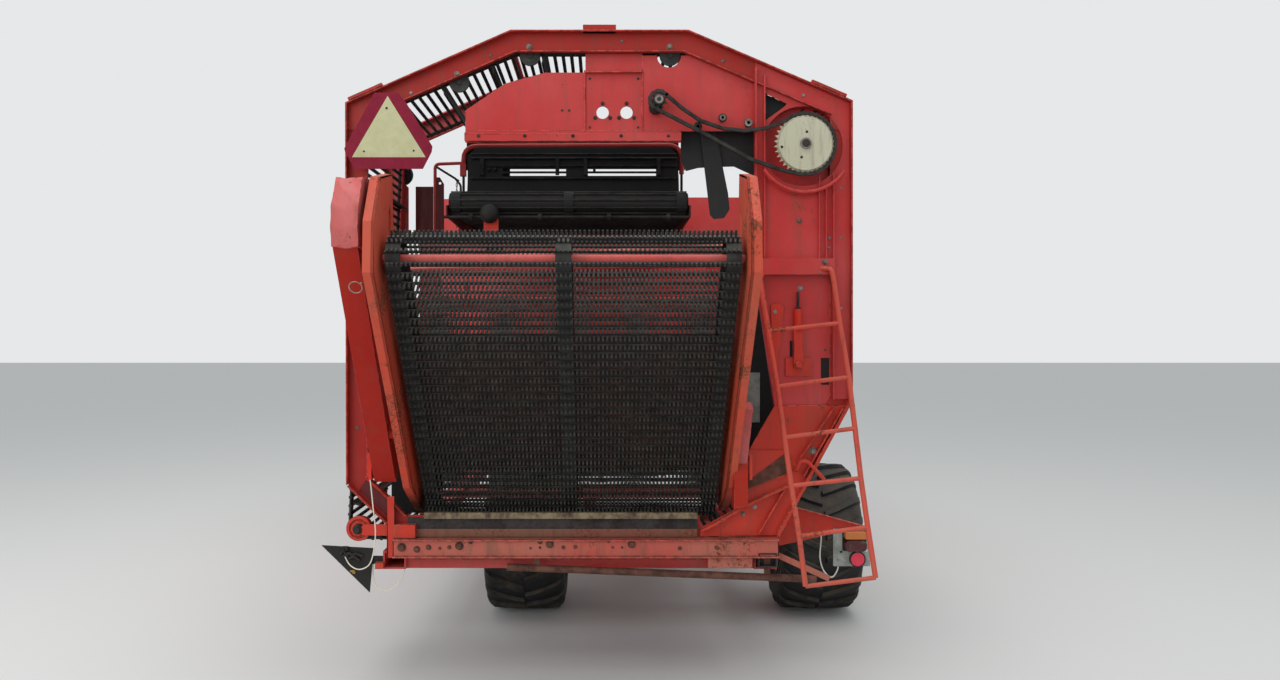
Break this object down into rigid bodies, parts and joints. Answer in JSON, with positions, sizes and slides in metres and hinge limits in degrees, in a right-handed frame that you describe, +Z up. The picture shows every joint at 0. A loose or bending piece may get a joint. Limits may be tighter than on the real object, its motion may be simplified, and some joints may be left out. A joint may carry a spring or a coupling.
{
  "type": "trailed potato harvester",
  "caption": "Trailed potato harvester for two rows with a ring elevator, rubber finger web, picking table, bunker and swinging drawbar, red paint worn and rusty",
  "frame": {"origin": "middle of the footprint on the ground, under the whole machine", "axes": "+Y points forward along the drawbar, +Z up, +X to the machine's right"},
  "size_m": [3.0115, 8.1806, 3.31],
  "materials": {
    "painted_red": "satin, worn and rusty at the edges",
    "painted_red_faded": "sun-faded, chalky",
    "painted_cream": "satin, dusty",
    "bare_steel": "worn bright by soil, rust in the corners",
    "black_rubber": "matt, dusty with dry soil",
    "tyre_rubber": "matt, dry soil in the tread",
    "black_steel": "oily black",
    "lamp_red": "moulded lens",
    "cable_sheath": "white cable sheath, dusty",
    "baler_twine": "twisted polypropylene twine",
    "sign": "retroreflective sheet"
  },
  "bodies": {
    "harvester": {"main_frame": "painted_red", "axle_beam": "painted_red", "ring_frame_rear": "painted_red", "ring_frame_front": "painted_red", "ring_ties": "painted_red", "ring_web": "black_rubber", "rear_beam": "painted_red", "hood_plates": "painted_red", "side_panel": "painted_red", "lower_plate": "painted_red", "drive_sprockets": "painted_cream", "drive_chain": "black_steel", "tension_pulley": "painted_red", "pivot_brackets": "painted_red", "feed_web": "black_rubber", "feed_walls": "painted_red", "upper_frame": "painted_red", "picking_web": "black_rubber", "picking_frame": "painted_red", "hoop": "painted_red", "platform": "bare_steel", "railing": "painted_red", "bunker": "painted_red", "bunker_web": "black_rubber", "oil_tank": "painted_red", "ladder": "painted_red", "lamp_bracket": "painted_red_faded", "lamps": "lamp_red", "triangle_sign": "sign", "deflector": "black_steel", "hung_pipe": "painted_red", "table_curtain": "black_rubber", "lamp_cable": "cable_sheath", "twine": "baler_twine", "twine_end": "baler_twine"},
    "tilting_web": {"finger_web": "black_rubber", "finger_plates": "painted_red", "finger_arms": "painted_red_faded"},
    "intake": {"digging_web": "black_rubber", "intake_frame": "painted_red", "share_blades": "bare_steel"},
    "roller_left": {"ridge_roller_left": "black_rubber"},
    "roller_right": {"ridge_roller_right": "black_rubber"},
    "coulter_left": {"disc_left": "bare_steel"},
    "coulter_middle": {"disc_middle": "bare_steel"},
    "coulter_right": {"disc_right": "bare_steel"},
    "steer_left_body": {"knuckle_left": "painted_red"},
    "steer_right_body": {"knuckle_right": "painted_red"},
    "track_rod": {"tie_rod": "bare_steel"},
    "wheel_left": {"rim_left": "painted_cream", "tyre_left": "tyre_rubber"},
    "wheel_right": {"rim_right": "painted_cream", "tyre_right": "tyre_rubber"},
    "boom": {"boom_frame": "painted_red", "boom_web": "black_rubber"},
    "towing_arm": {"drawbar": "painted_red", "towing_eye": "bare_steel", "drive_shaft": "black_steel"},
    "jack": {"jack_leg": "bare_steel"}
  },
  "joints": [
    {"name": "drawbar_swing", "type": "hinge", "parent": "harvester", "child": "towing_arm", "pos_m": [-0.001, 1.2, 1.51], "axis": [0, 0, 1], "range_deg": [-20, 20]},
    {"name": "jack_slide", "type": "slide", "parent": "towing_arm", "child": "jack", "axis": [0, 0, 1], "range_m": [0, 0.3]},
    {"name": "intake_lift", "type": "hinge", "parent": "harvester", "child": "intake", "pos_m": [-0.267, 0.095, 1.01], "axis": [1, 0, 0], "range_deg": [-5, 4]},
    {"name": "roller_left_spin", "type": "hinge", "parent": "intake", "child": "roller_left", "pos_m": [-0.642, 2.755, 0.52], "axis": [1, 0, 0], "continuous": true},
    {"name": "roller_right_spin", "type": "hinge", "parent": "intake", "child": "roller_right", "pos_m": [0.108, 2.755, 0.52], "axis": [1, 0, 0], "continuous": true},
    {"name": "coulter_left_spin", "type": "hinge", "parent": "intake", "child": "coulter_left", "pos_m": [-1.037, 2.585, 0.64], "axis": [1, 0, 0], "continuous": true},
    {"name": "coulter_middle_spin", "type": "hinge", "parent": "intake", "child": "coulter_middle", "pos_m": [-0.267, 2.585, 0.64], "axis": [1, 0, 0], "continuous": true},
    {"name": "coulter_right_spin", "type": "hinge", "parent": "intake", "child": "coulter_right", "pos_m": [0.503, 2.585, 0.64], "axis": [1, 0, 0], "continuous": true},
    {"name": "finger_web_tilt", "type": "hinge", "parent": "harvester", "child": "tilting_web", "pos_m": [-0.267, -3.295, 1.12], "axis": [1, 0, 0], "range_deg": [-3, 3]},
    {"name": "steer_left", "type": "hinge", "parent": "harvester", "child": "steer_left_body", "pos_m": [-0.276, -1.725, 0.466], "axis": [0, 0, 1], "range_deg": [-10, 10]},
    {"name": "steer_right", "type": "hinge", "parent": "harvester", "child": "steer_right_body", "pos_m": [0.942, -1.725, 0.466], "axis": [0, 0, 1], "range_deg": [-10, 10]},
    {"name": "track_rod_turn", "type": "hinge", "parent": "steer_left_body", "child": "track_rod", "pos_m": [-0.276, -1.425, 0.406], "axis": [0, 0, 1], "range_deg": [-10, 10]},
    {"name": "wheel_left_spin", "type": "hinge", "parent": "steer_left_body", "child": "wheel_left", "pos_m": [-0.588, -1.725, 0.466], "axis": [1, 0, 0], "continuous": true},
    {"name": "wheel_right_spin", "type": "hinge", "parent": "steer_right_body", "child": "wheel_right", "pos_m": [1.254, -1.725, 0.466], "axis": [1, 0, 0], "continuous": true},
    {"name": "boom_fold", "type": "hinge", "parent": "harvester", "child": "boom", "pos_m": [-1.291, 0.919, 1.69], "axis": [0, 1, 0], "range_deg": [-75, 0]}
  ],
  "couplings": [
    {"joint": "steer_right", "follows": "steer_left", "ratio": 1},
    {"joint": "track_rod_turn", "follows": "steer_left", "ratio": -1}
  ]
}
